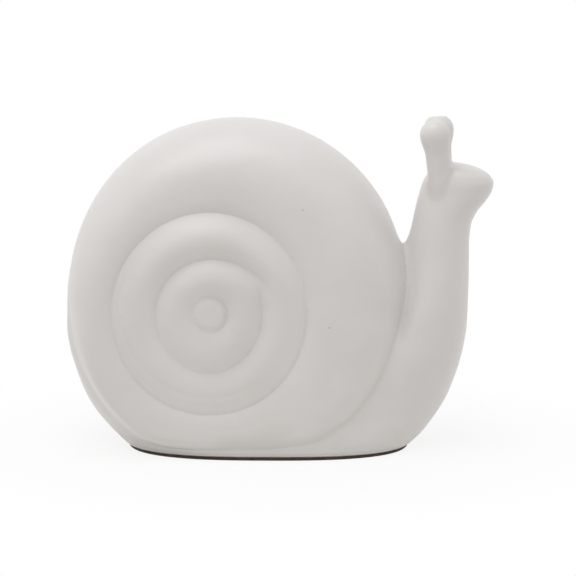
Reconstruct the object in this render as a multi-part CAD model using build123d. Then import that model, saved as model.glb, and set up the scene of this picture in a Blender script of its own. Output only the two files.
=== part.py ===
from build123d import *
import os
from math import cos, pi, radians, sin, sqrt, tan

# Snail ornament, hollow ceramic on a felt pad. Millimetres, +Z up.
# +X points to the head, -Y is the near side, and the origin is on the ground under the middle of the length.

# Whole ornament
HEAD_REACH = 35.8  # tip of the nose ahead of the front of the shell
WALL = 4.5  # thickness of the cast walls
LUTE_GAP = 0.1  # layer of slip between the shell and the bed cut for it

# Felt pad and sole
FELT_THICKNESS = 1.2
FELT_INSET = 0.5  # the felt stops this far inside the edge of the sole
SOLE_THICKNESS = 5.0
VENT_RADIUS = 5.0  # hole in the sole under the hollow of the shell
CROSS_VENT_RADIUS = 3.0  # hole between the hollow of the shell and that of the neck
CROSS_VENT_HEIGHT = 45.0

# Coiled shell
SHELL_RADIUS = 71.3  # rim of the outer whorl on the centre plane
SHELL_SINK = 5.3  # the rim's circle reaches this far below the ground, and the sole cuts it off
SHELL_HALF_DEPTH = 41.0  # centre plane to the crest of the outer whorl
FACE_RADIUS = 49.0  # the rounding of the rim starts here
RIM_SQUARENESS = 2.2  # exponent of the rim's rounding, 2 is an ellipse
COIL_BACK = 10.1  # the coil's axis lies this far behind the middle of the shell
COIL_DROP = 4.1  # and this far below it
OUTER_GROOVE_RADIUS = 40.0
OUTER_GROOVE_DEPTH = 37.0  # depths are measured from the centre plane
OUTER_SLOPE = 12.0  # degrees, from the outer groove up to the crest of the outer whorl
GROWTH_TILT = 3.9  # degrees, sinks the outer groove at the top and lifts it at the bottom
MIDDLE_EDGE_RADIUS = 41.0  # where the middle whorl's outer flank ends, under the outer groove
MIDDLE_EDGE_DEPTH = 33.0
MIDDLE_CREST_RADIUS = 31.5
MIDDLE_CREST_DEPTH = 40.6
INNER_GROOVE_RADIUS = 22.5
INNER_GROOVE_DEPTH = 35.5
INNER_CREST_RADIUS = 15.5
INNER_CREST_DEPTH = 40.5
BUTTON_RADIUS = 7.8
BUTTON_GROOVE_DEPTH = 36.5
BUTTON_DEPTH = 39.5

# Foot and belly
TAIL_REACH = 16.4  # the underside starts this far behind the rim's circle at the ground
FOOT_FRONT = 1.0  # front end of the underside, ahead of the front of the shell
FOOT_WIDTH = 75.6  # of the underside
FOOT_FULLNESS = 2.6  # exponent of the underside's oval, 2 is an ellipse
BELLY_FRONT = 25.6  # front of the belly where it is longest, ahead of the front of the shell
BELLY_HEIGHT = 58.5  # height where the belly is longest
BELLY_WIDTH = 76.4  # where it is widest
WIDEST_HEIGHT = 6.0
SADDLE_HEIGHT = 40.0  # the back of the body dips under the shell from here
SADDLE_WIDTH = 57.0
TAIL_LENGTH = 18.3  # the tail's thin sides end this far ahead of the back of the underside
TAIL_DROP = 7.5  # the tail's arc is upright this far below the middle of the shell

# Neck and head. Rises start at the base of the neck, backs and fronts at the front of the shell.
NECK_BASE_HEIGHT = 86.0
NECK_BACK = 0.1
NECK_WIDTH = 30.4
CHIN_RISE = 13.0
CHIN_BACK = 3.1
CHIN_FRONT = 29.9
CHIN_WIDTH = 28.4
NOSE_RISE = 24.4
NOSE_BACK = 6.2
NOSE_WIDTH = 26.4
BROW_RISE = 29.5
BROW_BACK = 8.8
BROW_FRONT = 31.2
BROW_WIDTH = 21.0
CROWN_RISE = 33.0
CROWN_BACK = 13.1
CROWN_FRONT = 22.1
CROWN_WIDTH = 8.0

# Eye stalks
STALK_ROOT = 14.5  # middle of the socket, ahead of the front of the shell
STALK_ROOT_RISE = 21.0  # base of the neck to the floor of the socket in the head
STALK_ROOT_SPACING = 14.4  # between the two roots
STALK_ROOT_RADIUS = 4.4
STALK_LENGTH = 25.0  # socket floor to the centre of the ball
NEAR_STALK_LEAN = 8.4  # degrees backwards
FAR_STALK_LEAN = 3.4
STALK_SPLAY = 4.5  # degrees outwards
STALK_NECK_RADIUS = 4.3
STALK_NECK_BELOW_BALL = 9.0
BALL_RADIUS = 5.5
SOCKET_CLEARANCE = 0.1

# Worked out from the sizes above
SOLE_TOP = FELT_THICKNESS + SOLE_THICKNESS
OVERALL_LENGTH = 2 * SHELL_RADIUS + HEAD_REACH
TAIL_X = -OVERALL_LENGTH / 2
SHELL_X = TAIL_X + SHELL_RADIUS
SHELL_FRONT_X = SHELL_X + SHELL_RADIUS
SHELL_CENTRE_HEIGHT = SHELL_RADIUS - SHELL_SINK
COIL_X = SHELL_X - COIL_BACK
COIL_HEIGHT = SHELL_CENTRE_HEIGHT - COIL_DROP
GROUND_HALF_LENGTH = sqrt(SHELL_RADIUS**2 - (SHELL_CENTRE_HEIGHT - FELT_THICKNESS) ** 2)  # of the rim's circle
FOOT_BACK_X = SHELL_X - GROUND_HALF_LENGTH - TAIL_REACH
FOOT_FRONT_X = SHELL_FRONT_X + FOOT_FRONT
BELLY_FRONT_X = SHELL_FRONT_X + BELLY_FRONT
CHIN_HEIGHT = NECK_BASE_HEIGHT + CHIN_RISE
NOSE_HEIGHT = NECK_BASE_HEIGHT + NOSE_RISE
BROW_HEIGHT = NECK_BASE_HEIGHT + BROW_RISE
CROWN_HEIGHT = NECK_BASE_HEIGHT + CROWN_RISE
STALK_ROOT_HEIGHT = NECK_BASE_HEIGHT + STALK_ROOT_RISE
GROOVE_FLOOR_DEPTH = OUTER_GROOVE_DEPTH - OUTER_GROOVE_RADIUS * tan(radians(GROWTH_TILT))  # at its deepest

# Fineness of the lofts
OVAL_POINTS = 24
RIM_POINTS = 6
BELLY_OVALS = 5
SADDLE_OVALS = 4

RELIEF_CLEARANCE = 1.0  # cuts go this far past what they cut
BIG = 4 * OVERALL_LENGTH  # side of the boxes that trim pieces


def box_between(x_low, x_high, y_low, y_high, z_low, z_high):
    """Box given by its six sides."""
    middle = ((x_low + x_high) / 2, (y_low + y_high) / 2, (z_low + z_high) / 2)
    return Pos(*middle) * Box(x_high - x_low, y_high - y_low, z_high - z_low)


def coil_frame(x, height):
    """Plane through an axis along Y, with its X outwards and its Y to the far side."""
    return Plane(origin=(x, 0, height), x_dir=(1, 0, 0), z_dir=(0, 0, 1))


def disc(radius, face_radius, half_depth):
    """Flat-faced disc turned about the shell's axis, with a rim rounded as a squared ellipse."""
    rim = []
    for step in range(2 * RIM_POINTS + 1):
        turn = pi / 2 * (step - RIM_POINTS) / RIM_POINTS
        across = max(cos(turn), 0.0) ** (2 / RIM_SQUARENESS)
        deep = abs(sin(turn)) ** (2 / RIM_SQUARENESS)
        depth = half_depth * deep
        rim.append((face_radius + (radius - face_radius) * across, depth if turn > 0 else -depth))
    outline = Spline(rim, tangents=((1, 0), (-1, 0)))
    outline += Polyline(rim[-1], (0, half_depth), (0, -half_depth), rim[0])
    profile = coil_frame(SHELL_X, SHELL_CENTRE_HEIGHT) * make_face(outline)
    return revolve(profile, Axis((SHELL_X, 0, SHELL_CENTRE_HEIGHT), (0, 1, 0)), 360)


def bowl():
    """Space inside the outer whorl: a blunt cone, tilted so that it is deepest at the top of the face."""
    height = 2 * (SHELL_HALF_DEPTH - GROOVE_FLOOR_DEPTH)
    mouth = OUTER_GROOVE_RADIUS + height / tan(radians(OUTER_SLOPE))
    tilt = radians(GROWTH_TILT)
    frame = Plane(
        origin=(COIL_X, -OUTER_GROOVE_DEPTH, COIL_HEIGHT),
        x_dir=(1, 0, 0),
        z_dir=(0, -cos(tilt), sin(tilt)),
    )
    return frame * Cone(OUTER_GROOVE_RADIUS, mouth, height, align=(Align.CENTER, Align.CENTER, Align.MIN))


def well():
    """Round space in the middle of the face, which the whorls are set into."""
    over = SHELL_HALF_DEPTH + RELIEF_CLEARANCE
    frame = Plane(origin=(COIL_X, -over, COIL_HEIGHT), x_dir=(1, 0, 0), z_dir=(0, 1, 0))
    depth = over - MIDDLE_EDGE_DEPTH
    return frame * Cylinder(MIDDLE_CREST_RADIUS, depth, align=(Align.CENTER, Align.CENTER, Align.MIN))


def whorls():
    """Middle whorl, inner whorl and button, turned about the coil's axis, with a flat back in the wall."""
    back = GROOVE_FLOOR_DEPTH - WALL / 2
    edge = (MIDDLE_EDGE_RADIUS, -MIDDLE_EDGE_DEPTH)
    inner = (INNER_GROOVE_RADIUS, -INNER_GROOVE_DEPTH)
    button = (BUTTON_RADIUS, -BUTTON_GROOVE_DEPTH)
    tip = (0, -BUTTON_DEPTH)
    outline = Polyline(tip, (0, -back), (MIDDLE_EDGE_RADIUS, -back), edge)
    outline += ThreePointArc(edge, (MIDDLE_CREST_RADIUS, -MIDDLE_CREST_DEPTH), inner)
    outline += ThreePointArc(inner, (INNER_CREST_RADIUS, -INNER_CREST_DEPTH), button)
    outline += TangentArc(button, tip, tangent=(1, 0), tangent_from_first=False)
    profile = coil_frame(COIL_X, COIL_HEIGHT) * make_face(outline)
    return revolve(profile, Axis((COIL_X, 0, COIL_HEIGHT), (0, 1, 0)), 360)


def shell_bed():
    """Space that the shell takes in the body, with the layer of slip round it."""
    return disc(SHELL_RADIUS + LUTE_GAP, FACE_RADIUS + LUTE_GAP, SHELL_HALF_DEPTH + LUTE_GAP)


def shell_hollow():
    """Space inside the shell, a wall's thickness under the outer groove and the rim."""
    return disc(SHELL_RADIUS - WALL, FACE_RADIUS - WALL, GROOVE_FLOOR_DEPTH - WALL)


def oval(height, back, front, width, fullness):
    """Level closed curve with a rounded-rectangle share that grows with fullness."""
    middle = (back + front) / 2
    half_length = (front - back) / 2
    points = []
    for step in range(OVAL_POINTS):
        turn = 2 * pi * step / OVAL_POINTS
        along = abs(cos(turn)) ** (2 / fullness)
        across = abs(sin(turn)) ** (2 / fullness)
        x = middle + half_length * (along if cos(turn) >= 0 else -along)
        y = width / 2 * (across if sin(turn) >= 0 else -across)
        points.append((x, y, height))
    return Wire([Edge.make_spline(points, periodic=True)])


def bulge(height, foot_x, end_x, end_height):
    """X of one end of the body at a height: an arc from the foot, upright at the end's own height."""
    reach = abs(end_x - foot_x)
    rise = end_height - FELT_THICKNESS
    radius = (reach**2 + rise**2) / (2 * reach)
    drop = max(end_height - height, 0.0)
    inwards = radius - sqrt(radius**2 - drop**2)
    return end_x - inwards if end_x > foot_x else end_x + inwards


def belly_width(height):
    """Widest a little above the foot, narrower at the underside and towards the saddle."""
    if height < WIDEST_HEIGHT:
        share = (WIDEST_HEIGHT - height) / (WIDEST_HEIGHT - FELT_THICKNESS)
        return BELLY_WIDTH - (BELLY_WIDTH - FOOT_WIDTH) * share**2
    share = (height - WIDEST_HEIGHT) / (SADDLE_HEIGHT - WIDEST_HEIGHT)
    return BELLY_WIDTH - (BELLY_WIDTH - SADDLE_WIDTH) * share**2


def back_x(height):
    """X of the tail's arc behind the shell."""
    return bulge(height, FOOT_BACK_X, TAIL_X, SHELL_CENTRE_HEIGHT - TAIL_DROP)


def front_x(height):
    """X of the belly's arc ahead of the shell."""
    return bulge(height, FOOT_FRONT_X, BELLY_FRONT_X, BELLY_HEIGHT)


def body_sizes():
    """Height, back, front, width and fullness of each oval of the body, from the underside to the crown."""
    sizes = []
    for step in range(BELLY_OVALS):
        share = step / (BELLY_OVALS - 1)
        height = FELT_THICKNESS + (SADDLE_HEIGHT - FELT_THICKNESS) * share**1.3
        fullness = FOOT_FULLNESS + (2 - FOOT_FULLNESS) * share
        sizes.append((height, back_x(height), front_x(height), belly_width(height), fullness))
    neck_back_x = SHELL_FRONT_X + NECK_BACK
    for step in range(1, SADDLE_OVALS + 1):
        share = step / (SADDLE_OVALS + 1)
        ease = share**2 * (3 - 2 * share)
        height = SADDLE_HEIGHT + (NECK_BASE_HEIGHT - SADDLE_HEIGHT) * share
        back = TAIL_X + (neck_back_x - TAIL_X) * ease
        sizes.append((height, back, front_x(height), SADDLE_WIDTH + (NECK_WIDTH - SADDLE_WIDTH) * ease, 2))
    sizes.append((NECK_BASE_HEIGHT, neck_back_x, BELLY_FRONT_X, NECK_WIDTH, 2))
    head = [
        (CHIN_HEIGHT, CHIN_BACK, CHIN_FRONT, CHIN_WIDTH),
        (NOSE_HEIGHT, NOSE_BACK, HEAD_REACH, NOSE_WIDTH),
        (BROW_HEIGHT, BROW_BACK, BROW_FRONT, BROW_WIDTH),
        (CROWN_HEIGHT, CROWN_BACK, CROWN_FRONT, CROWN_WIDTH),
    ]
    for height, back, front, width in head:
        sizes.append((height, SHELL_FRONT_X + back, SHELL_FRONT_X + front, width, 2))
    return sizes


def body_solid():
    """Foot, belly, neck and head as one filled form, with the flare behind the shell."""
    return Part() + Solid.make_loft([oval(*size) for size in body_sizes()])


def body_hollow():
    """Space inside the belly and neck, up to the chin, with straight sides between the ovals."""
    ovals = []
    for height, back, front, width, fullness in body_sizes():
        if height <= CHIN_HEIGHT:
            ovals.append(oval(height, back + WALL, front - WALL, width - 2 * WALL, fullness))
    return Part() + Solid.make_loft(ovals, ruled=True)


def stalk_frame(side):
    """Plane on the socket's floor, with its normal up the stalk. Side is -1 near and 1 far."""
    root = (SHELL_FRONT_X + STALK_ROOT, side * STALK_ROOT_SPACING / 2, STALK_ROOT_HEIGHT)
    lean = radians(NEAR_STALK_LEAN if side < 0 else FAR_STALK_LEAN)
    splay = radians(STALK_SPLAY)
    upwards = (-sin(lean), side * sin(splay), sqrt(1 - sin(lean) ** 2 - sin(splay) ** 2))
    return Plane(origin=root, x_dir=(cos(lean), 0, sin(lean)), z_dir=upwards)


def eye_stalk(side):
    """Straight root, waisted stem and ball tip, turned about the stalk's own axis."""
    neck = (STALK_NECK_RADIUS, STALK_LENGTH - STALK_NECK_BELOW_BALL)
    join_drop = BALL_RADIUS * cos(radians(50))
    join = (BALL_RADIUS * sin(radians(50)), STALK_LENGTH - join_drop)
    outline = Polyline((0, STALK_LENGTH + BALL_RADIUS), (0, 0), (STALK_ROOT_RADIUS, 0))
    outline += Spline((STALK_ROOT_RADIUS, 0), neck, join)
    outline += ThreePointArc(join, (BALL_RADIUS, STALK_LENGTH), (0, STALK_LENGTH + BALL_RADIUS))
    turned = revolve(Plane.XZ * make_face(outline), Axis.Z, 360)
    return stalk_frame(side) * turned


def stalk_socket(side):
    """Round flat-floored hole for a stalk's root, open through the top of the head."""
    radius = STALK_ROOT_RADIUS + SOCKET_CLEARANCE
    hole = Cylinder(radius, STALK_LENGTH, align=(Align.CENTER, Align.CENTER, Align.MIN))
    return stalk_frame(side) * hole


def cross_vent():
    """Hole along X through the shell's front wall, between its hollow and that of the body."""
    hole = box_between(SHELL_X, BELLY_FRONT_X - WALL, -BIG, BIG, -BIG, BIG)
    rod = Pos(0, 0, CROSS_VENT_HEIGHT) * Rot(0, 90, 0) * Cylinder(CROSS_VENT_RADIUS, BIG)
    return rod & hole


def near_half(solid):
    """What of a solid lies on the near side and above the sole."""
    return solid & box_between(-BIG, BIG, -BIG, 0, SOLE_TOP, BIG)


def shell_half():
    """Near half of the shell, with the coil's relief on its face, hollow and open to the sole."""
    half = near_half(disc(SHELL_RADIUS, FACE_RADIUS, SHELL_HALF_DEPTH))
    half = half - bowl() - well() + whorls()
    return half - shell_hollow() - cross_vent()


def tail(body):
    """Crescent under the back of the shell, where the foot flares out behind it."""
    behind = box_between(-BIG, FOOT_BACK_X + TAIL_LENGTH, -BIG, 0, SOLE_TOP, BIG)
    near_side = (body & behind) - shell_bed()
    return near_side + mirror(near_side, Plane.XZ)


def body_half(body):
    """Near half of the foot, neck and head, hollow, with the shell's bed and no socket yet."""
    ahead = box_between(SHELL_X, BIG, -BIG, BIG, -BIG, BIG)
    half = near_half((body & ahead) - shell_bed())
    return half - body_hollow()


def sole(body):
    """Slab across the underside, with its vent hole."""
    slab = body & box_between(-BIG, BIG, -BIG, BIG, FELT_THICKNESS, SOLE_TOP)
    return slab - Pos(SHELL_X, 0, FELT_THICKNESS) * Cylinder(VENT_RADIUS, BIG)


def base_felt():
    """Felt sheet under the sole, a little smaller than the sole's underside."""
    back = FOOT_BACK_X + FELT_INSET
    front = FOOT_FRONT_X - FELT_INSET
    outline = oval(0, back, front, FOOT_WIDTH - 2 * FELT_INSET, FOOT_FULLNESS)
    return extrude(Face(outline), FELT_THICKNESS, dir=(0, 0, 1))


def main():
    body = body_solid()
    near_shell = shell_half()
    near_body = body_half(body)
    pieces = {
        "shell_near_half": near_shell,
        "shell_far_half": mirror(near_shell, Plane.XZ),
        "body_near_half": near_body - stalk_socket(-1),
        "body_far_half": mirror(near_body, Plane.XZ) - stalk_socket(1),
        "tail": tail(body),
        "near_eye_stalk": eye_stalk(-1),
        "far_eye_stalk": eye_stalk(1),
        "sole": sole(body),
        "base_felt": base_felt(),
    }
    os.makedirs("parts", exist_ok=True)
    for name, piece in pieces.items():
        export_step(piece, f"parts/{name}.step")


main()
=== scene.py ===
# %% [markdown]
# A ceramic snail, skinned over its CAD part
#
# The part is a hollow, satin warm-white ceramic snail about 18 cm long that stands on a dark felt pad. On
# the real ornament the joints between the luted pieces are wiped smooth before firing, so the eye sees a
# few soft forms that flow into each other: a coiled shell, a body with a head, a tail, two eye stalks and
# a base. The CAD part fixes the size and the place of each of them, and this script gives them a finished
# skin.

# %% Load the frame
import math
import bpy
import numpy as np
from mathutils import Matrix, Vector


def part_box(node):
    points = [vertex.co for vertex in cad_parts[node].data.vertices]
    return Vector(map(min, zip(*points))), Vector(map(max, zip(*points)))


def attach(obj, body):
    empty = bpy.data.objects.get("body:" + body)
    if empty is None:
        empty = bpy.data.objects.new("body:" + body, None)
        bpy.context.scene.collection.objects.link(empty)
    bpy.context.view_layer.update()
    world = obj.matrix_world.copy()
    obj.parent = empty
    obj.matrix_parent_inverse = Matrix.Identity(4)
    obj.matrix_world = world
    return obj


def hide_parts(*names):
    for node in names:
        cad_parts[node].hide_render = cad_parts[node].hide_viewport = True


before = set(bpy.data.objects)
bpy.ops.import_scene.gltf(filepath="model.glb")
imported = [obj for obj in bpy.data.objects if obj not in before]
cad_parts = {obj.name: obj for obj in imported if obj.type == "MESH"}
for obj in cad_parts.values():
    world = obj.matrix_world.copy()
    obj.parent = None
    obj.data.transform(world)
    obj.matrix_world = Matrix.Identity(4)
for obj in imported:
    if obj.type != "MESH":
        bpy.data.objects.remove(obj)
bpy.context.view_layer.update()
MM = 0.001
print("CAD nodes:", ", ".join(sorted(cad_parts)))

# %% [markdown]
# Sizes from the frame
#
# The shell is a round disc on edge, so the box of its near half gives the radius, the middle and the
# depth. They could be typed again here, but read from the frame they follow the CAD part when its size
# changes. All lengths below are in millimetres, because that is how the ornament would be measured on a
# bench.


# %% Measure the frame
def box_in_mm(name):
    """Low and high corner of a CAD node's box, in millimetres."""
    return [np.array(corner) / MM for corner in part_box(name)]


shell_low, shell_high = box_in_mm("shell_near_half")
felt_low, felt_high = box_in_mm("base_felt")
TAIL_COVER = 0.9  # the shell's skin stays this far inside its CAD box, to leave room for the tail's skin
SHELL_RADIUS = (shell_high[0] - shell_low[0]) / 2 - TAIL_COVER
SHELL_X = (shell_high[0] + shell_low[0]) / 2
SHELL_Z = shell_high[2] - SHELL_RADIUS
SHELL_DEPTH = -shell_low[1]
FELT_TOP = felt_high[2]
SOLE_TOP = box_in_mm("sole")[1][2]
print(f"shell: radius {SHELL_RADIUS:.1f} mm, half depth {SHELL_DEPTH:.1f} mm")

# %% [markdown]
# Curves through a few values
#
# Most of the snail is given by a few values along a height or an angle. Straight lines between them would
# show as facets in the glaze, and a common cubic spline swings past the values and leaves dents. The
# curve used here takes its slopes from harmonic means, so it is smooth and never swings past a value.


# %% Helpers for curves
def ease(share):
    """Smooth step from 0 to 1: three times the square less twice the cube."""
    share = np.clip(share, 0.0, 1.0)
    return share * share * (3 - 2 * share)


def blend(start, stop, share):
    """Value that eases from start to stop as the share runs from 0 to 1."""
    return start + (stop - start) * ease(share)


def smooth_curve(at, places, values):
    """Cubic pieces through the values. The slope at a place is the harmonic mean of the slopes on its two
    sides, or level where they differ in sign."""
    steps = np.diff(values) / np.diff(places)
    before, after = steps[:-1], steps[1:]
    total = np.where(before + after == 0, 1, before + after)
    both = np.where(before * after > 0, 2 * before * after / total, 0)
    slopes = np.concatenate([steps[:1], both, steps[-1:]])
    piece = np.clip(np.searchsorted(places, at) - 1, 0, len(places) - 2)
    width = places[piece + 1] - places[piece]
    t = (at - places[piece]) / width
    start = (2 * t**3 - 3 * t**2 + 1) * values[piece] + (t**3 - 2 * t**2 + t) * width * slopes[piece]
    end = (3 * t**2 - 2 * t**3) * values[piece + 1] + (t**3 - t**2) * width * slopes[piece + 1]
    return start + end


print("ease at a quarter and a half:", ease(0.25), ease(0.5))

# %% [markdown]
# Soft joints
#
# A potter fills the joint between two pieces with slip and wipes it with a wet finger. Every form here is
# a function of a point that is negative inside and positive outside. Divided by the length of its slope,
# it is a near distance, and where two near distances are both small, the joint between the forms is
# filled. A voxel remesh would also melt the pieces together, but it loses the sharp grooves of the coil.
# Moving the points of a clean grid out to the soft joint keeps both.


# %% Helpers for soft joints
UNION_STEPS = 24
PUSH_LIMIT = 0.3  # farthest push of a point, as a share of the joint's width
THINNEST_JOINT = 0.1


def soft_min(a, b, soft):
    """Smaller of two values, less soft times h times (1 - h), where h runs from 0 to 1 as b - a runs from
    -soft to +soft."""
    h = np.clip(0.5 + 0.5 * (b - a) / soft, 0, 1)
    return b * (1 - h) + a * h - soft * h * (1 - h)


def near_distance(form, points, step=0.25):
    """Form's value over the length of its slope, with the slope's direction, from central differences."""
    axes = np.eye(3) * step
    slope = np.stack([form(points + axis) - form(points - axis) for axis in axes], axis=-1) / (2 * step)
    length = np.maximum(np.linalg.norm(slope, axis=-1), 1e-6)
    return form(points) / length, slope / length[..., None]


def fill_joint(points, own, other, soft):
    """Points of one form, pushed out along its normals to the soft smaller distance of both forms.

    The middle of a joint lies a quarter of its width away from both forms, so no point goes much farther than
    that, and points deep inside the other form stay where they are. Also returns how far each point lies in
    the joint, from 0 to 1.
    """
    gap, _ = near_distance(other, points)
    reach = soft(points)
    near = (np.abs(gap) < reach) & (reach > THINNEST_JOINT)
    start, gap, reach = points[near], gap[near], reach[near]
    _, normal = near_distance(own, start)
    push = np.zeros(len(start))
    for _ in range(UNION_STEPS):
        now = start + normal * push[:, None]
        union = soft_min(near_distance(own, now)[0], near_distance(other, now)[0], reach)
        push = np.clip(push - union, 0, PUSH_LIMIT * reach)
    moved, depth = points.copy(), np.zeros(len(points))
    moved[near] = start + normal * (push * ease(1 + 2 * gap / reach))[:, None]
    depth[near] = ease(1 - np.abs(gap) / reach)
    return moved, depth


def wipe(grid, marks, own, other, soft):
    """Grid of points on one form after its joint with another is filled. Marks are those of its earlier
    joints, or 0, and the deeper of the old and the new mark is kept."""
    moved, depth = fill_joint(grid.reshape(-1, 3), own, other, soft)
    return moved.reshape(grid.shape), np.maximum(marks, depth.reshape(grid.shape[:2]))


print("soft smaller value of 0 and 0 in a joint of 4 mm:", soft_min(0.0, 0.0, 4.0))

# %% [markdown]
# Closed meshes from rings
#
# Each skin is a grid: rings of points from one end to the other, closed at both ends with a single point.
# Blender could bridge the rings one by one, but written as whole arrays a hundred thousand points take
# less than a second. The sign of the volume inside the faces tells whether they point outwards.


# %% Helper that makes a closed mesh from rings
def ring_mesh(name, rings, first, last, material, marks=None):
    """Closed mesh from rings of points (rows x columns x 3, in mm) and the two end points. Marks go into an
    attribute that the glaze reads for its painted shade in the joints."""
    rows, columns, _ = rings.shape
    points = np.concatenate([rings.reshape(-1, 3), [first], [last]]) * MM
    index = np.arange(rows * columns).reshape(rows, columns)
    onward = np.roll(index, -1, axis=1)
    quads = np.stack([index[:-1], onward[:-1], onward[1:], index[1:]], axis=-1).reshape(-1, 4)
    begin = np.stack([np.full(columns, rows * columns), onward[0], index[0]], axis=-1)
    end = np.stack([np.full(columns, rows * columns + 1), index[-1], onward[-1]], axis=-1)
    corners = points[np.concatenate([quads[:, [0, 1, 2]], quads[:, [0, 2, 3]]])]
    if np.sum(corners[:, 0] * np.cross(corners[:, 1], corners[:, 2])) < 0:
        quads, begin, end = quads[:, ::-1], begin[:, ::-1], end[:, ::-1]
    mesh = bpy.data.meshes.new(name)
    mesh.from_pydata(points.tolist(), [], quads.tolist() + begin.tolist() + end.tolist())
    mesh.polygons.foreach_set("use_smooth", np.ones(len(mesh.polygons), dtype=bool))
    if marks is not None:
        layer = mesh.attributes.new("joint", "FLOAT", "POINT")
        ends = [marks[0].mean(), marks[-1].mean()]
        layer.data.foreach_set("value", np.concatenate([marks.ravel(), ends]))
    mesh.update()
    mesh.materials.append(material)
    piece = bpy.data.objects.new(name, mesh)
    bpy.context.scene.collection.objects.link(piece)
    print(f"{name}: {len(points)} points, {len(quads) * 2 + 2 * columns} triangles")
    return piece


# %% [markdown]
# Materials as node trees
#
# A material in Blender is a tree of nodes, and most of its lines would be the same few words again and
# again. A handful of short helpers keep the recipes below readable: one node, a sum, a soft ramp, a mix
# and a noise.


# %% Helpers for node trees
def node(tree, kind, settings=None, **inputs):
    """New shader node with its settings and input values. A socket as a value is linked. An input is named by
    its label, with _ for a space, or by i and its number."""
    made = tree.nodes.new(kind)
    for key, value in (settings or {}).items():
        setattr(made, key, value)
    for key, value in inputs.items():
        numbered = key[0] == "i" and key[1:].isdigit()
        socket = made.inputs[int(key[1:]) if numbered else key.replace("_", " ")]
        if isinstance(value, bpy.types.NodeSocket):
            tree.links.new(value, socket)
        else:
            socket.default_value = value
    return made


def calculate(tree, operation, *values):
    """Result of a Math node. MULTIPLY_ADD is the first value times the second, plus the third."""
    inputs = {f"i{place}": value for place, value in enumerate(values)}
    return node(tree, "ShaderNodeMath", {"operation": operation}, **inputs).outputs[0]


def ramp(tree, value, low, high, start=0.0, stop=1.0):
    """Value mapped from low..high to start..stop, smoothed and kept inside."""
    ends = {"From_Min": low, "From_Max": high, "To_Min": start, "To_Max": stop}
    mapped = node(tree, "ShaderNodeMapRange", {"interpolation_type": "SMOOTHSTEP"}, Value=value, **ends)
    return mapped.outputs["Result"]


def mix_colour(tree, share, first, second):
    """Colour between two colours."""
    return node(tree, "ShaderNodeMix", {"data_type": "RGBA"}, i0=share, i6=first, i7=second).outputs[2]


def noise(tree, place, scale, detail, roughness):
    """Noise value at a place. The scale is about the number of its blobs per metre."""
    made = node(tree, "ShaderNodeTexNoise", Vector=place, Scale=scale, Detail=detail, Roughness=roughness)
    return made.outputs["Fac"]


def blank_material(name):
    """Material with an empty node tree, its tree and its output node."""
    material = bpy.data.materials.new(name)
    material.use_nodes = True
    material.node_tree.nodes.clear()
    output = material.node_tree.nodes.new("ShaderNodeOutputMaterial")
    return material, material.node_tree, output


# %% [markdown]
# The glaze
#
# The ornament has one finish: a satin, slightly warm off-white glaze. It isn't flat white. It has a faint
# mottle, a fine grain that breaks up the highlights, and here and there a pinhole where a bubble burst in the
# kiln. Deep in the joints its colour is made warmer and darker, as painted shade for the creases. A painted
# picture could show all this, but it would need a seam somewhere. Here it is worked out from the position on
# the object, and from a mark on each point that says how deep it lies in a joint.

# %% Colour of the glaze
GLAZE_DARK, GLAZE_PALE = (0.788, 0.758, 0.739, 1.0), (0.814, 0.786, 0.771, 1.0)
# colour of the painted shade in the joints and brown of the pinholes, then how much of each shows
JOINT_SHADE_COLOUR, PINHOLE_BROWN = (0.66, 0.63, 0.58, 1.0), (0.34, 0.3, 0.26, 1.0)
JOINT_SHADE_SHARE, PINHOLE_SHARE = 0.35, 0.38
MOTTLE_RANGE, PINHOLE_EDGE, PINHOLE_CHANCE = (0.3, 0.7), (0.035, 0.06), (0.9, 0.94)
glaze, tree, output = blank_material("satin_glaze")
place = tree.nodes.new("ShaderNodeTexCoord").outputs["Object"]
mottle = noise(tree, place, scale=38.0, detail=4.0, roughness=0.55)
bubbles = node(tree, "ShaderNodeTexVoronoi", Vector=place, Scale=95.0, Randomness=1.0).outputs
chance = node(tree, "ShaderNodeSeparateColor", Color=bubbles["Color"]).outputs["Red"]
dot = ramp(tree, bubbles["Distance"], *PINHOLE_EDGE, 1.0, 0.0)
pinhole = calculate(tree, "MULTIPLY", dot, ramp(tree, chance, *PINHOLE_CHANCE))
joint = node(tree, "ShaderNodeAttribute", {"attribute_name": "joint"}).outputs["Fac"]
body_colour = mix_colour(tree, ramp(tree, mottle, *MOTTLE_RANGE), GLAZE_DARK, GLAZE_PALE)
# painted shade: the glaze turns darker and warmer the deeper a point lies in a joint
joint_shaded = mix_colour(tree, ramp(tree, joint, 0.2, 1.0, 0.0, JOINT_SHADE_SHARE), body_colour, JOINT_SHADE_COLOUR)
colour = mix_colour(tree, ramp(tree, pinhole, 0.0, 1.0, 0.0, PINHOLE_SHARE), joint_shaded, PINHOLE_BROWN)
print("glaze colour:", len(tree.nodes), "nodes")

# %% Surface of the glaze
swell = noise(tree, place, scale=85.0, detail=2.0, roughness=0.5)
grain = noise(tree, place, scale=1400.0, detail=3.0, roughness=0.6)
height = calculate(tree, "MULTIPLY_ADD", swell, 1.1, calculate(tree, "MULTIPLY", grain, 0.1))
pitted = calculate(tree, "MULTIPLY_ADD", pinhole, -1.0, height)
bump = node(tree, "ShaderNodeBump", Strength=0.35, Distance=0.0006, Height=pitted)
shine = node(
    tree,
    "ShaderNodeBsdfPrincipled",
    Base_Color=colour,
    Roughness=ramp(tree, mottle, *MOTTLE_RANGE, 0.33, 0.4),
    IOR=1.47,
    Normal=bump.outputs["Normal"],
)
tree.links.new(shine.outputs[0], output.inputs["Surface"])
print("glaze:", len(tree.nodes), "nodes")

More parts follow.
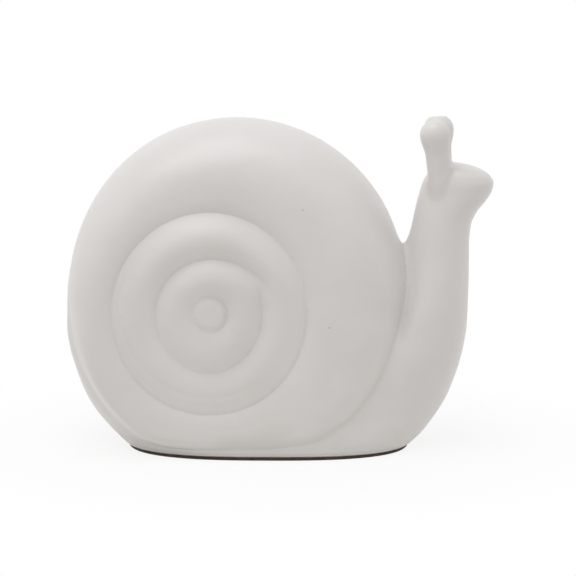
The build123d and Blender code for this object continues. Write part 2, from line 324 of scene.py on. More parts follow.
# %% [markdown]
# The outline of the shell
#
# From the side the shell is a disc, a little flatter behind and cut level above the felt. The axis of its
# coil isn't in the middle but behind and below it, because each turn of a snail's shell is wider than the
# last. The face could be modelled on a square grid, but the grooves run round the axis, so everything
# here is a function of the radius and the angle. The outline is the far crossing of a ray with a circle
# off the axis.

# %% Axis of the coil and outline of the shell
COIL_BACK, COIL_DROP = 10.1, 5.7  # how far the axis lies behind and below the middle of the shell
COIL_X, COIL_Z = SHELL_X - COIL_BACK, SHELL_Z - COIL_DROP
FLAT_ANGLE, FLAT_BY = math.radians(150), 0.5
SHELL_FOOT, FOOT_BEND = 3.2, 6.0  # height of the level underside and width of the bend into it


def rim_radius(angle):
    """Distance from the coil's axis to the shell's outline: the circle's middle measured along the ray, plus
    the root of the squared radius less the squared distance of that middle from the ray. A little is taken
    off behind, and the level underside cuts off what is lower."""
    along = COIL_BACK * np.cos(angle) + COIL_DROP * np.sin(angle)
    away = COIL_BACK**2 + COIL_DROP**2 - along**2
    behind = np.cos(angle - FLAT_ANGLE) > 0
    flat = FLAT_BY * np.maximum(np.cos(2 * (angle - FLAT_ANGLE)), 0) ** 2 * behind
    circle = along + np.sqrt(SHELL_RADIUS**2 - away) - flat
    level = (COIL_Z - SHELL_FOOT) / np.maximum(-np.sin(angle), 1e-3)
    return np.where(np.sin(angle) < -0.05, soft_min(circle, level, FOOT_BEND), circle)


COLUMNS = 360
angle = np.linspace(0, 2 * np.pi, COLUMNS, endpoint=False)[None, :]
print(f"outline: {rim_radius(angle).min():.1f} to {rim_radius(angle).max():.1f} mm from the coil's axis")

# %% [markdown]
# The grooves of the coil
#
# Two grooves part the face into whorls. The outer one closes on itself. The inner one winds outwards and
# breaks at the upper right, where its end fades beside its own start. A single spiral from the button to
# the rim would be simpler, but it would lose that break. Each groove has its own radius and depth, as a
# mean with a little more or less on each side.


# %% Grooves of the coil
BREAK_ANGLE, BREAK_FADE = math.radians(25), 0.06
# radius of the inner groove, at shares of one clockwise turn from its break
GROOVE_TURNS = np.array([0.0, 0.07, 0.14, 0.225, 0.33, 0.46, 0.58, 0.70, 0.83, 0.93, 1.0])
GROOVE_RADII = np.array([21.8, 21.2, 21.8, 23.1, 24.6, 23.4, 22.1, 22.3, 22.7, 24.1, 25.8])


def round_the_coil(angle, mean, right=0.0, top=0.0, sides=0.0):
    """Value that changes round the coil: the mean, plus right times the cosine and top times the sine of the
    angle, plus sides times the cosine of twice the angle."""
    return mean + right * np.cos(angle) + top * np.sin(angle) + sides * np.cos(2 * angle)


def towards(angle, degrees):
    """One in a direction, falling as a cosine to zero a quarter turn away from it."""
    return np.maximum(np.cos(angle - math.radians(degrees)), 0)


def winding(angle):
    """Share of one clockwise turn from the break of the inner groove."""
    return np.mod(BREAK_ANGLE - angle, 2 * np.pi) / (2 * np.pi)


def inner_groove(angle):
    """Radius of the inner groove that the grid follows. It eases back to its start before the break."""
    turn = winding(angle)
    back = GROOVE_RADII[0] - GROOVE_RADII[-1]
    return smooth_curve(turn, GROOVE_TURNS, GROOVE_RADII) + blend(0, back, 1 + (turn - 1) / (3 * BREAK_FADE))


def inner_floor(angle):
    """Depth of the inner groove's floor: a little farther back over the top and at the lower right."""
    return round_the_coil(angle, 37.3, top=-0.5) - 0.8 * towards(angle, -40) ** 2


def outer_groove(angle):
    """Radius of the outer groove, which is a little taller than wide."""
    return round_the_coil(angle, 40.9, right=-0.3, top=-0.4, sides=-0.8)


def outer_floor(angle):
    """Depth of the outer groove's floor: far back at the top, and well forward along the bottom."""
    return round_the_coil(angle, 36.0, top=-2.3, sides=0.9)


print(f"outer groove: {outer_groove(angle).min():.1f} to {outer_groove(angle).max():.1f} mm from the axis")

# %% [markdown]
# The whorls
#
# Round a flat button lie three whorls, each a rounded band that climbs from the groove inside it to a
# crest and then falls away outwards. The outer whorl leans back as it rises: at the bottom it is nearly
# flush with the coil, and over the top it lies about five millimetres behind, so that the coil stands
# proud of it. A tube swept along a spiral would give the whorls, but not the closed sides between them.
# As a depth over radius and angle, each band meets the next one in its groove.

# %% Sizes of the whorls
BUTTON_FLAT, BUTTON_GROOVE, BUTTON_TIP = 4.8, 7.2, 39.6
INNER_PEAK, MIDDLE_PEAK = 0.5, 0.42  # where the climb ends, as a share of the band's width
INNER_FLANK, MIDDLE_FLANK, BEND = 5.8, 8.4, 1.3  # widths of the outer flanks and of the bend above them


def band(radius, inside, outside, floor_in, floor_out, crest, peak, flank):
    """Rounded band between two grooves: a climb with a square to the crest, then a soft ramp down the flank.
    The ramp is the logarithm of one plus an exponential, which is level at first and straight at the end."""
    climb = np.clip(1 - (radius - inside) / (outside - inside) / peak, 0, 1)
    ramp_down = np.logaddexp(0, (radius - outside + flank) / BEND) / np.logaddexp(0, flank / BEND)
    return crest - (crest - floor_in) * climb**2 - (crest - floor_out) * ramp_down


def inner_whorls(radius, angle, middle_in):
    """Depth of the button and the two inner whorls, with the groove between the whorls at a given radius."""
    button_floor = 38.6 - 0.7 * towards(angle, 10)
    inner_crest = round_the_coil(angle, 40.5, top=0.4)
    middle_crest = round_the_coil(angle, 39.4, sides=0.2)
    floor_in, floor_out, groove = inner_floor(angle), outer_floor(angle), outer_groove(angle)
    button = blend(BUTTON_TIP, button_floor, (radius - BUTTON_FLAT) / (BUTTON_GROOVE - BUTTON_FLAT))
    inner = band(
        radius, BUTTON_GROOVE, middle_in, button_floor, floor_in, inner_crest, INNER_PEAK, INNER_FLANK
    )
    middle = band(radius, middle_in, groove, floor_in, floor_out, middle_crest, MIDDLE_PEAK, MIDDLE_FLANK)
    return np.where(radius < BUTTON_GROOVE, button, np.where(radius < middle_in, inner, middle))


def crest_depth(angle):
    """Depth of the outer whorl's crest: it leans back at the top and stands forward at the bottom."""
    return round_the_coil(angle, SHELL_DEPTH - 3.6, right=0.5, top=-2.3, sides=1.1)


def crest_radius(angle):
    """Radius of the outer whorl's crest, near the groove at the top and farther out towards the bottom."""
    groove = outer_groove(angle)
    return groove + round_the_coil(angle, 0.28, top=-0.12) * (rim_radius(angle) - groove)


def rim_power(angle):
    """How square the shell is from crest to rim: 2 is an ellipse, more is a flat side with a tight edge."""
    return 2.3 + 5.0 * towards(angle, -90) ** 1.5


print(f"outer whorl: crest {crest_depth(angle).min():.1f} to {crest_depth(angle).max():.1f} mm deep")

# %% [markdown]
# The face and the side of the shell
#
# The face is put together from the whorls. Two fine marks of the maker's tool belong to it: a crease
# along the foot of the outer groove, and a second line inside it on the left and along the bottom. From
# the crest of the outer whorl, the side of the shell runs out to the rim as a squared ellipse. A bevel on
# a disc would be quicker, but the side is rounder at the top than at the bottom, where it runs into the
# foot.

# %% Depth of the face and form of the shell
LINE_DEPTH, CREASE_DEPTH, LINE_WIDTH = 0.3, 0.45, 0.8
SECOND_IN, SECOND_LOWER = 3.0, 4.5  # how far the second line lies inside the groove, and how much more below


def tool_line(radius, at):
    """Bell curve across a fine line: the exponential of minus the square of the distance over the width."""
    return np.exp(-(((radius - at) / LINE_WIDTH) ** 2))


def face_depth(radius, angle):
    """Depth of the face at a radius and angle, from the button out to the crest of the outer whorl. Where
    the inner groove breaks, its fading end and its fresh start are mixed. The outer whorl climbs with a
    square."""
    turn, groove = winding(angle), outer_groove(angle)
    ended = turn > 0.5
    start_in = smooth_curve(np.where(ended, 0.0, turn), GROOVE_TURNS, GROOVE_RADII)
    end_in = smooth_curve(np.where(ended, turn, 1.0), GROOVE_TURNS, GROOVE_RADII)
    passed = np.where(ended, turn - 1, turn)
    coil = blend(
        inner_whorls(radius, angle, end_in),
        inner_whorls(radius, angle, start_in),
        (passed + BREAK_FADE) / (2 * BREAK_FADE),
    )
    second_at = groove - SECOND_IN - SECOND_LOWER * towards(angle, -90)
    second = tool_line(radius, second_at) * ease(1.6 * towards(angle, 225))
    crest = crest_depth(angle)
    climb = np.clip((radius - groove) / (crest_radius(angle) - groove), 0, 1)
    outer = crest - (crest - outer_floor(angle)) * (1 - climb) ** 2
    crease = tool_line(radius, groove) * round_the_coil(angle, 0.5, top=-0.5)
    return np.where(radius < groove, coil - LINE_DEPTH * second, outer) - CREASE_DEPTH * crease


def shell_form(points):
    """Shell as a form: a squared ellipse from the crest to the rim, and the face inside the crest."""
    x, z = points[..., 0] - COIL_X, points[..., 2] - COIL_Z
    radius, angle = np.hypot(x, z), np.arctan2(z, x)
    crest, depth = crest_radius(angle), np.abs(points[..., 1])
    out = np.maximum((radius - crest) / (rim_radius(angle) - crest), 0)
    power = rim_power(angle)
    side = (out**power + (depth / crest_depth(angle)) ** power) ** (1 / power) - 1
    face = depth / face_depth(np.minimum(radius, crest), angle) - 1
    return np.where(radius > crest, side, face)


print(f"button: {face_depth(0 * angle, angle).max():.1f} mm from the middle of the shell")


# %% Rings of the shell's near half, from the button to the rim
BAND_ROWS = (12, 24, 30, 14)  # rings of the button, the two inner whorls, and the outer one up to its crest
SIDE_ROWS = 57


def spread(start, stop, count):
    """Radii from just after start up to stop, closer together at both ends: half of one less the cosine."""
    share = (1 - np.cos(np.pi * np.arange(1, count + 1) / count)) / 2
    return start + (stop - start) * share[:, None]


crest = crest_radius(angle)
edges = [0 * angle, BUTTON_GROOVE + 0 * angle, inner_groove(angle), outer_groove(angle), crest]
face_radius = np.concatenate([spread(*ends, rows) for *ends, rows in zip(edges, edges[1:], BAND_ROWS)])
turn = np.linspace(0, np.pi / 2, SIDE_ROWS + 1)[1:, None]
bend = 2 / rim_power(angle)
side_radius = crest + (rim_radius(angle) - crest) * np.sin(turn) ** bend
side_depth = crest_depth(angle) * np.maximum(np.cos(turn), 0) ** bend
radius = np.concatenate([face_radius, side_radius])
depth = np.concatenate([face_depth(face_radius, angle), side_depth])
near_half = np.stack([COIL_X + radius * np.cos(angle), -depth, COIL_Z + radius * np.sin(angle)], axis=-1)
print("near half of the shell:", near_half.shape[:2], "rows and columns")

# %% [markdown]
# The body and the tail
#
# The snail's body is a broad foot with a belly, a neck and a round head with a blunt nose, and behind the
# shell the foot flares up into a tail. Seen from above, every level of either is an egg, so a list of
# eggs from the underside to the top is enough, and a smooth curve through the list gives the rest.
# Sculpting would be freer, but it can't be changed by a number. One list for both would be shorter, but
# the body needs a narrow egg where the tail needs a long one.

# %% Eggs of the body and the tail
# height, back end, widest place, front end, half width and fullness (2 is an ellipse) of each egg
BODY_EGGS = np.array(
    [
        (1.2, -40.0, -4.8, 54.8, 37.3, 2.65),
        (6.2, -40.0, -4.8, 60.3, 37.9, 2.55),
        (11.0, -40.0, 2.0, 64.2, 36.8, 2.4),
        (16.0, -38.0, 12.0, 67.8, 34.4, 2.25),
        (21.5, -30.0, 21.0, 70.8, 32.4, 2.2),
        (27.0, -12.0, 31.0, 73.0, 30.6, 2.15),
        (34.0, 13.0, 42.0, 75.4, 28.6, 2.1),
        (42.0, 31.0, 50.0, 77.3, 26.6, 2.05),
        (50.0, 41.5, 56.0, 78.5, 24.2, 2.0),
        (58.5, 46.6, 60.0, 78.9, 22.2, 2.0),
        (66.0, 49.2, 62.6, 79.1, 20.0, 2.0),
        (72.0, 50.5, 64.2, 79.2, 18.4, 2.0),
        (78.0, 51.7, 65.4, 79.2, 17.0, 2.05),
        (82.0, 52.5, 66.0, 79.2, 16.2, 2.1),
        (86.0, 53.4, 66.3, 79.2, 15.5, 2.1),
        (93.0, 55.2, 67.6, 79.9, 14.6, 2.1),
        (98.5, 56.3, 69.4, 82.3, 14.3, 2.1),
        (103.5, 57.5, 72.0, 86.2, 14.1, 2.1),
        (107.5, 58.6, 73.6, 88.5, 13.7, 2.1),
        (110.6, 59.6, 74.4, 89.1, 13.4, 2.15),
        (113.4, 61.1, 74.4, 87.7, 12.5, 2.15),
        (115.9, 63.2, 73.8, 84.2, 10.8, 2.1),
        (117.6, 65.9, 72.9, 79.6, 8.2, 2.05),
        (118.4, 68.6, 72.8, 76.4, 5.0, 2.0),
    ]
)
TAIL_EGGS = np.array(
    [
        (1.2, -64.4, -4.8, 20.0, 37.3, 2.65),
        (6.2, -69.7, -4.8, 20.0, 38.0, 2.6),
        (11.0, -74.0, -4.8, 20.0, 38.1, 2.7),
        (16.0, -77.8, -5.0, 20.0, 37.7, 2.85),
        (21.5, -81.1, -6.0, 20.0, 36.9, 2.9),
        (27.0, -83.6, -8.0, 18.0, 35.6, 2.85),
        (34.0, -86.0, -12.0, 12.0, 33.2, 2.7),
        (42.0, -87.9, -18.0, 2.0, 31.0, 2.9),
        (50.0, -88.8, -26.0, -8.0, 29.0, 3.4),
        (58.5, -88.4, -38.0, -18.0, 26.0, 3.0),
        (66.0, -87.6, -46.0, -30.0, 23.0, 2.8),
        (72.0, -86.2, -54.0, -40.0, 19.0, 2.6),
        (80.0, -82.5, -62.0, -50.0, 14.0, 2.4),
    ]
)
print("eggs of the body and the tail:", len(BODY_EGGS), len(TAIL_EGGS))


# %% A form lofted through eggs
EGG_LEVELS = 1200  # heights at which the smooth curves are worked out once


class Loft:
    """Form lofted through a list of eggs, one per height."""

    def __init__(self, eggs):
        self.low, self.high = eggs[0, 0], eggs[-1, 0]
        self.levels = np.linspace(self.low, self.high, EGG_LEVELS)
        self.table = [smooth_curve(self.levels, eggs[:, 0], column) for column in eggs[:, 1:].T]

    def egg(self, height):
        """Back end, widest place, front end, half width and fullness of the egg at a height."""
        return [np.interp(height, self.levels, column) for column in self.table]

    def form(self, points):
        """Negative inside. The egg is a superellipse with its own length before and behind its widest place:
        the shares of length and width, each to the power of the fullness, add up to one on the outline."""
        back, widest, front, width, fullness = self.egg(points[..., 2])
        along = points[..., 0] - widest
        along = np.where(along > 0, along / (front - widest), along / (back - widest))
        across = np.abs(points[..., 1]) / width
        above = np.maximum(points[..., 2] - self.high, 0)
        return ((along**fullness + across**fullness) ** (1 / fullness) - 1) * width + above

    def rings(self, heights, columns):
        """Rings of points on the form: cosine and sine of the turn, to the power of two over the fullness."""
        back, widest, front, width, fullness = (value[:, None] for value in self.egg(heights))
        turn = np.linspace(0, 2 * np.pi, columns, endpoint=False)[None, :]
        along = np.abs(np.cos(turn)) ** (2 / fullness)
        across = np.sign(np.sin(turn)) * np.abs(np.sin(turn)) ** (2 / fullness)
        x = widest + np.where(np.cos(turn) > 0, front - widest, back - widest) * along
        return np.stack([x, width * across, heights[:, None] + 0 * x], axis=-1)


# %% Rings of the body and the tail
EDGE_ROUND = 1.1  # rounding under the sole, above which the skins of the body and the tail start
SKIN_FOOT = FELT_TOP + EDGE_ROUND
HEAD_LEVEL = 108  # above this height the rings close up towards the crown
SKIN_COLUMNS, NECK_ROWS, CROWN_ROWS, TAIL_ROWS = 280, 144, 36, 96
body, tail = Loft(BODY_EGGS), Loft(TAIL_EGGS)
crown_rise = (body.high - HEAD_LEVEL) * np.sin(np.linspace(0, np.pi / 2, CROWN_ROWS))
neck_levels = np.linspace(SKIN_FOOT, HEAD_LEVEL, NECK_ROWS, endpoint=False)
body_rings = body.rings(np.concatenate([neck_levels, HEAD_LEVEL + crown_rise]), SKIN_COLUMNS)
tail_rings = tail.rings(np.linspace(SKIN_FOOT, tail.high, TAIL_ROWS), SKIN_COLUMNS)
print("body and tail:", body_rings.shape[:2], tail_rings.shape[:2], "rows and columns")

# %% [markdown]
# Wiping the joints of the shell
#
# Behind and below, the shell runs into the foot without a crease. On the head's side a soft valley stays,
# where the edge of the shell stands over the body. One width for every joint would either blur that
# valley or leave a step at the tail, so the width changes from place to place, and it is nothing on the
# coil and at the base.

# %% Join the shell, the body and the tail
BELLY_JOINT, NECK_JOINT = 3.6, 5.8
SIDE_JOINT, BACK_JOINT, TAIL_TOP_JOINT = 4.5, 7.5, 4.0
# where a change of width starts, and over how many millimetres it runs
COIL_END, COIL_FADE = 46, 9
BASE_FADE = 8
NECK_START, NECK_FADE = 50, 20
BACK_START, BACK_FADE = 30, 35
TAIL_TOP_START, TAIL_TOP_FADE = 36, 22
MIRROR = np.array([1, -1, 1])


def off_coil(points):
    """Zero on the coil and at the base, and one away from both."""
    radius = np.hypot(points[..., 0] - COIL_X, points[..., 2] - COIL_Z)
    return ease((radius - COIL_END) / COIL_FADE) * ease((points[..., 2] - SKIN_FOOT) / BASE_FADE)


def body_joint(points):
    """Width of the joint with the body, which is wider up at the neck."""
    return blend(BELLY_JOINT, NECK_JOINT, (points[..., 2] - NECK_START) / NECK_FADE) * off_coil(points)


def tail_joint(points):
    """Width of the joint with the tail: wide behind, narrower where the tail runs out on the shell's back."""
    behind = blend(SIDE_JOINT, BACK_JOINT, (-points[..., 0] - BACK_START) / BACK_FADE)
    upwards = (points[..., 2] - TAIL_TOP_START) / TAIL_TOP_FADE
    return blend(behind, TAIL_TOP_JOINT, upwards) * off_coil(points)


near_half, near_marks = wipe(near_half, 0, shell_form, body.form, body_joint)
near_half, near_marks = wipe(near_half, near_marks, shell_form, tail.form, tail_joint)
near_half[-1, :, 1] = 0
shell_rings = np.concatenate([near_half, near_half[-2::-1] * MIRROR])
shell_marks = np.concatenate([near_marks, near_marks[-2::-1]])
body_rings, body_marks = wipe(body_rings, 0, body.form, shell_form, body_joint)
tail_rings, tail_marks = wipe(tail_rings, 0, tail.form, shell_form, tail_joint)
print("points in the joints:", sum(int((marks > 0).sum()) for marks in (shell_marks, body_marks, tail_marks)))

# %% [markdown]
# The eye stalks
#
# Two stalks with ball tips stand side by side on the head. The far one stands straighter than the near
# one. A turned profile would need its own list of radii, but a rod and a ball that melt into each other
# give the same shape from four sizes, and the form serves for the soft joint with the head as well.

# %% Form of a stalk
STALK_ROOT = np.array([67.5, 7.2, 106.5])
STALK_LEAN = {-1: math.radians(7.2), 1: math.radians(2.6)}
STALK_SPLAY = math.radians(4.5)
STALK_LENGTH, STEM_RADIUS, BALL_RADIUS, TAPER = 25.3, 5.0, 5.4, 4.5
STALK_COLUMNS, STEM_ROWS, CAP_ROWS, REACH_STEPS = 64, 60, 24, 60


def stalk_axis(side):
    """Root and unit direction of a stalk. Side is -1 near and 1 far."""
    tilt = np.array([-math.sin(STALK_LEAN[side]), side * math.sin(STALK_SPLAY), 0])
    return STALK_ROOT * np.array([1, side, 1]), tilt + np.array([0, 0, math.sqrt(1 - tilt @ tilt)])


def stalk_form(side):
    """Stem and ball as a form: the soft smaller distance to a rod with a round end and to a ball."""
    root, upwards = stalk_axis(side)

    def form(points):
        along = np.clip((points - root) @ upwards, 0, STALK_LENGTH)
        stem = np.linalg.norm(points - root - along[..., None] * upwards, axis=-1) - STEM_RADIUS
        ball = np.linalg.norm(points - root - STALK_LENGTH * upwards, axis=-1) - BALL_RADIUS
        return soft_min(stem, ball, TAPER)

    return form


def stalk_rings(side):
    """Rings of a stalk, from the root to the ball's top: each goes out from the axis until the form is 0."""
    root, upwards = stalk_axis(side)
    right = np.cross([0, 1.0, 0], upwards)
    right = right / np.linalg.norm(right)
    turn = np.linspace(0, 2 * np.pi, STALK_COLUMNS, endpoint=False)[:, None]
    around = np.cos(turn) * right + np.sin(turn) * np.cross(upwards, right)
    cap = STALK_LENGTH + BALL_RADIUS * np.sin(np.linspace(0, np.pi / 2, CAP_ROWS)[1:-1])
    along = np.concatenate([np.linspace(0, STALK_LENGTH, STEM_ROWS), cap])
    centre = (root + along[:, None] * upwards)[:, None, :]
    reach = np.full((len(along), 1), 0.5)
    for _ in range(REACH_STEPS):
        reach = reach - stalk_form(side)(centre + reach[..., None] * around)[:, :1]
    return centre + reach[..., None] * around, root, root + (STALK_LENGTH + BALL_RADIUS) * upwards


# %% Make the stalks and join them to the head
ROOT_JOINT = 2.4


def root_joint(points):
    """Width of the joint round a stalk's root, which is the same all round."""
    return np.full(points.shape[:-1], ROOT_JOINT)


stalks = {}
for side, name in ((-1, "near_eye_stalk"), (1, "far_eye_stalk")):
    rings, root, tip = stalk_rings(side)
    rings, marks = wipe(rings, 0, stalk_form(side), body.form, root_joint)
    stalks[name] = ring_mesh(name + "_skin", rings, root, tip, glaze, marks)
    body_rings, body_marks = wipe(body_rings, body_marks, body.form, stalk_form(side), root_joint)

# %% [markdown]
# The shell, the body and the tail
#
# Their points are now where the wiped joints want them. Each stays a piece of its own and runs on inside
# the others: one mesh cut along the joints would have ragged edges there, and what lies inside is never
# seen.

# %% Make the shell, the body and the tail
CROWN = np.array([72.6, 0.0, 118.7])
apex = np.array([COIL_X, -BUTTON_TIP, COIL_Z])
shell_skin = ring_mesh("shell_skin", shell_rings, apex, apex * MIRROR, glaze, shell_marks)
foot = np.array([body_rings[0, :, 0].mean(), 0, SKIN_FOOT])
body_skin = ring_mesh("body_skin", body_rings, foot, CROWN, glaze, body_marks)
tail_ends = [ring.mean(axis=0) for ring in (tail_rings[0], tail_rings[-1])]
tail_skin = ring_mesh("tail_skin", tail_rings, *tail_ends, glaze, tail_marks)

# %% [markdown]
# The sole
#
# A slab closes the underside. Its edge is rounded with a sponge before firing, so the ornament seems to
# float a hair above the table. An extruded outline with a bevel would do, but the slab has to follow the
# eggs of the body and the tail. So its rings are taken from them, drawn in round the edge, and then run
# up behind their skins, which hide the seam as the wiped slip does.

# %% Make the sole
SOLE_COLUMNS, EDGE_ROWS, WALL_ROWS = 240, 14, 7
BEHIND_SKIN = 0.3  # how far the slab's wall stays behind the skins
turn = np.linspace(0, np.pi / 2, EDGE_ROWS)
wall = np.linspace(SKIN_FOOT, SOLE_TOP, WALL_ROWS + 1)[1:]
heights = np.concatenate([FELT_TOP + EDGE_ROUND * (1 - np.cos(turn)), wall])
inset = np.concatenate([EDGE_ROUND * (1 - np.sin(turn)), np.full(WALL_ROWS, BEHIND_SKIN)])
front = np.cos(np.linspace(0, 2 * np.pi, SOLE_COLUMNS, endpoint=False))[None, :, None] > 0
slab = np.where(front, body.rings(heights, SOLE_COLUMNS), tail.rings(heights, SOLE_COLUMNS))
middle = np.array([(slab[0, :, 0].max() + slab[0, :, 0].min()) / 2, 0, 0])
outward = slab[:, :, :2] - middle[:2]
length = np.linalg.norm(outward, axis=-1, keepdims=True)
slab[:, :, :2] = middle[:2] + outward * (1 - inset[:, None, None] / length)
underside, upside = middle + [0, 0, FELT_TOP], middle + [0, 0, SOLE_TOP]
sole_skin = ring_mesh("sole_skin", slab, underside, upside, glaze, np.zeros(slab.shape[:2]))

# %% [markdown]
# The felt pad
#
# The dark line under the ornament is a sheet of brown felt glued to the sole so that it doesn't scratch
# the shelf. Felt has no weave: it is a mat of fibres, so its colour and its height are fine noise that is
# stretched in no direction. A cut sheet has no form of its own, so the pad is a flat oval as long and
# wide as its CAD piece, with its edge closed so that it has a thickness.

# %% Make the felt
FELT_DARK, FELT_PALE = (0.03, 0.018, 0.012, 1.0), (0.095, 0.06, 0.042, 1.0)
felt, tree, output = blank_material("brown_felt")
place = tree.nodes.new("ShaderNodeTexCoord").outputs["Object"]
fibres = noise(tree, place, scale=2600.0, detail=5.0, roughness=0.7)
clumps = noise(tree, place, scale=220.0, detail=3.0, roughness=0.6)
matted = calculate(tree, "MULTIPLY", fibres, clumps)
fuzz = node(tree, "ShaderNodeBump", Strength=0.7, Distance=0.0003, Height=fibres)
nap = node(
    tree,
    "ShaderNodeBsdfPrincipled",
    Base_Color=mix_colour(tree, ramp(tree, matted, 0.12, 0.38), FELT_DARK, FELT_PALE),
    Roughness=0.95,
    Sheen_Weight=0.3,
    Sheen_Roughness=0.5,
    Normal=fuzz.outputs["Normal"],
)
tree.links.new(nap.outputs[0], output.inputs["Surface"])
print("felt:", len(tree.nodes), "nodes")

# %% Make the felt pad
FELT_FULLNESS, FELT_COLUMNS, FLAT_ROWS = 2.65, 240, 12
centre = (felt_low + felt_high) / 2
half = (felt_high - felt_low) / 2
turn = np.linspace(0, 2 * np.pi, FELT_COLUMNS, endpoint=False)
circle = np.stack([np.cos(turn), np.sin(turn)], axis=-1)
oval = half[:2] * np.sign(circle) * np.abs(circle) ** (2 / FELT_FULLNESS)
flat = np.linspace(0.1, 0.98, FLAT_ROWS)
shares = np.concatenate([flat, [0.996, 1.0, 1.0, 0.996], flat[::-1]])
levels = np.concatenate([np.zeros(FLAT_ROWS), [0.0, 0.2, 1.0, FELT_TOP], np.full(FLAT_ROWS, FELT_TOP)])
flat_rings = centre[:2] + shares[:, None, None] * oval
pad = np.concatenate([flat_rings, levels[:, None, None] + 0 * flat_rings[:, :, :1]], axis=-1)
felt_skin = ring_mesh("felt_skin", pad, [*centre[:2], 0], [*centre[:2], FELT_TOP], felt)

# %% [markdown]
# Tying the skins to the frame
#
# Nothing on the ornament moves, so each skin rides on the one body of the frame. Each also hides the CAD
# pieces it stands for: the two halves of the shell, and those of the body, share a skin, because nothing is
# left of the seam between them after wiping.

stands_for = [
    (shell_skin, "ceramic", ["shell_near_half", "shell_far_half"]),
    (body_skin, "ceramic", ["body_near_half", "body_far_half"]),
    (tail_skin, "ceramic", ["tail"]),
    (stalks["near_eye_stalk"], "ceramic", ["near_eye_stalk"]),
    (stalks["far_eye_stalk"], "ceramic", ["far_eye_stalk"]),
    (sole_skin, "ceramic", ["sole"]),
    (felt_skin, "felt", ["base_felt"]),
]
for piece, slot, nodes in stands_for:
    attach(piece, "root")
    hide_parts(*nodes)
print("declared:", len(stands_for), "pieces")

# %% [markdown]
# The white floor
#
# The snail stands on white paper without a horizon. A strong lamp would bleach the paper, but also the
# snail. So the paper glows white only for the rays that show it, from the camera or a shiny surface, and
# less so round the snail, where its soft shadow has to stay. For the rays that carry light it is plain
# paper, which sends a little warmth up.


# %% Make the floor
FLOOR_SIZE = 8  # metres from the middle to an edge
PAPER_BOUNCE, PAPER_SEEN = (0.84, 0.83, 0.81, 1.0), (0.92, 0.92, 0.92, 1.0)
SHADOW_GLOW = 0.86  # glow of the paper near the snail, where the shadow shows
SHADOW_NEAR, SHADOW_FAR = 0.06, 0.17  # metres from the middle between which the glow rises to 1


def seen_rays(tree):
    """One for rays that show the background (camera, mirror and glass rays) and zero for rays that light."""
    path = tree.nodes.new("ShaderNodeLightPath").outputs
    shiny = calculate(tree, "MAXIMUM", path["Is Glossy Ray"], path["Is Transmission Ray"])
    return calculate(tree, "MAXIMUM", path["Is Camera Ray"], shiny)


ground = bpy.data.meshes.new("floor")
corners = [(x * FLOOR_SIZE, y * FLOOR_SIZE, 0) for x, y in ((-1, -1), (1, -1), (1, 1), (-1, 1))]
ground.from_pydata(corners, [], [(0, 1, 2, 3)])
floor = bpy.data.objects.new("floor", ground)
bpy.context.scene.collection.objects.link(floor)
paper, tree, output = blank_material("white_paper")
place = tree.nodes.new("ShaderNodeTexCoord").outputs["Object"]
away = node(tree, "ShaderNodeVectorMath", {"operation": "LENGTH"}, i0=place).outputs["Value"]
whiteness = ramp(tree, away, SHADOW_NEAR, SHADOW_FAR, SHADOW_GLOW, 1.0)
glow = calculate(tree, "MULTIPLY", whiteness, seen_rays(tree))
tone = mix_colour(tree, seen_rays(tree), PAPER_BOUNCE, PAPER_SEEN)
matt = node(tree, "ShaderNodeBsdfDiffuse", Color=tone).outputs[0]
white = node(tree, "ShaderNodeEmission", Color=(1, 1, 1, 1), Strength=1.0).outputs[0]
sheet = node(tree, "ShaderNodeMixShader", i0=glow, i1=matt, i2=white)
tree.links.new(sheet.outputs[0], output.inputs["Surface"])
ground.materials.append(paper)
print("floor:", len(tree.nodes), "nodes")

# %% [markdown]
# The light
#
# A satin glaze shows its form by soft changes of grey. Small lamps would put hard spots on it, so there
# is one large soft light above and a little to the left. White walls at both sides fill the shadows, and
# the darker room behind the camera leaves the front of the snail a soft grey. The room is drawn in the
# world's own nodes: brighter sideways, and brightest near the horizon.

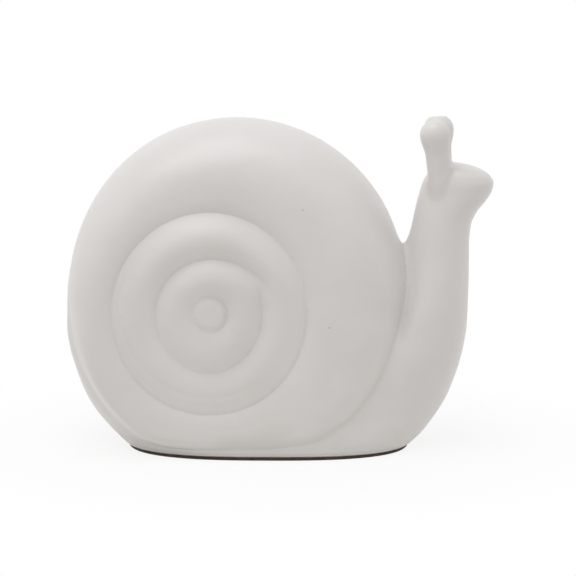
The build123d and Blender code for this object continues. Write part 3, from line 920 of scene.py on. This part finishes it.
# %% Make the room and the lamp
ROOM_STRENGTH, WALL_STRENGTH, HIGH_WALL_SHARE = 0.405, 0.72, 0.2
WALL_EDGE, HORIZON_EDGE = (0.2, 0.9), (0.05, 0.6)  # parts of a direction of length 1, sideways and upwards
world = bpy.data.worlds.new("studio")
bpy.context.scene.world = world
world.use_nodes = True
tree = world.node_tree
tree.nodes.clear()
output = tree.nodes.new("ShaderNodeOutputWorld")
looking = tree.nodes.new("ShaderNodeTexCoord").outputs["Generated"]
direction = node(tree, "ShaderNodeSeparateXYZ", Vector=looking).outputs
sideways = ramp(tree, calculate(tree, "ABSOLUTE", direction["X"]), *WALL_EDGE, 0.0, WALL_STRENGTH)
low_down = ramp(tree, direction["Z"], *HORIZON_EDGE, 1.0, HIGH_WALL_SHARE)
strength = calculate(tree, "MULTIPLY_ADD", sideways, low_down, ROOM_STRENGTH)
room = node(tree, "ShaderNodeBackground", Color=(1, 0.995, 0.985, 1), Strength=strength).outputs[0]
white = node(tree, "ShaderNodeBackground", Color=(1, 1, 1, 1), Strength=1.0).outputs[0]
backdrop = node(tree, "ShaderNodeMixShader", i0=seen_rays(tree), i1=room, i2=white)
tree.links.new(backdrop.outputs[0], output.inputs["Surface"])

LAMP_PLACE, LAMP_AIM = Vector((-0.16, -0.2, 0.99)), Vector((0, 0, 0.06))
lamp = bpy.data.lights.new("top_light", "AREA")
lamp.size = 0.8
lamp.energy = 4.4
lamp.color = (0.97, 0.99, 1.0)
top_light = bpy.data.objects.new("top_light", lamp)
top_light.location = LAMP_PLACE
top_light.rotation_euler = (LAMP_AIM - LAMP_PLACE).to_track_quat("-Z", "Y").to_euler()
bpy.context.scene.collection.objects.link(top_light)
print(f"light: a room of strength {ROOM_STRENGTH} and one lamp of {lamp.energy:.1f} W")

# %% [markdown]
# The camera
#
# The ornament is seen from its side, from a little above, through a long lens that hardly narrows its far
# side. The camera could be placed by eye, but given as a direction and a distance from the point that it
# looks at, each of the three can be set by itself.

# %% Place the camera
AIM = Vector((3.4, 0.0, 65.7)) * MM
AZIMUTH, ELEVATION, DISTANCE = math.radians(0.8), math.radians(9.9), 1.25
lens = bpy.data.cameras.new("camera")
lens.lens = 186
lens.sensor_width = 36
camera = bpy.data.objects.new("camera", lens)
level = math.cos(ELEVATION)
away = Vector((math.sin(AZIMUTH) * level, -math.cos(AZIMUTH) * level, math.sin(ELEVATION)))
camera.location = AIM + away * DISTANCE
camera.rotation_euler = (-away).to_track_quat("-Z", "Y").to_euler()
bpy.context.scene.collection.objects.link(camera)
bpy.context.scene.camera = camera
bpy.context.scene.view_settings.view_transform = "Standard"
print("camera in metres:", [round(v, 3) for v in camera.location])
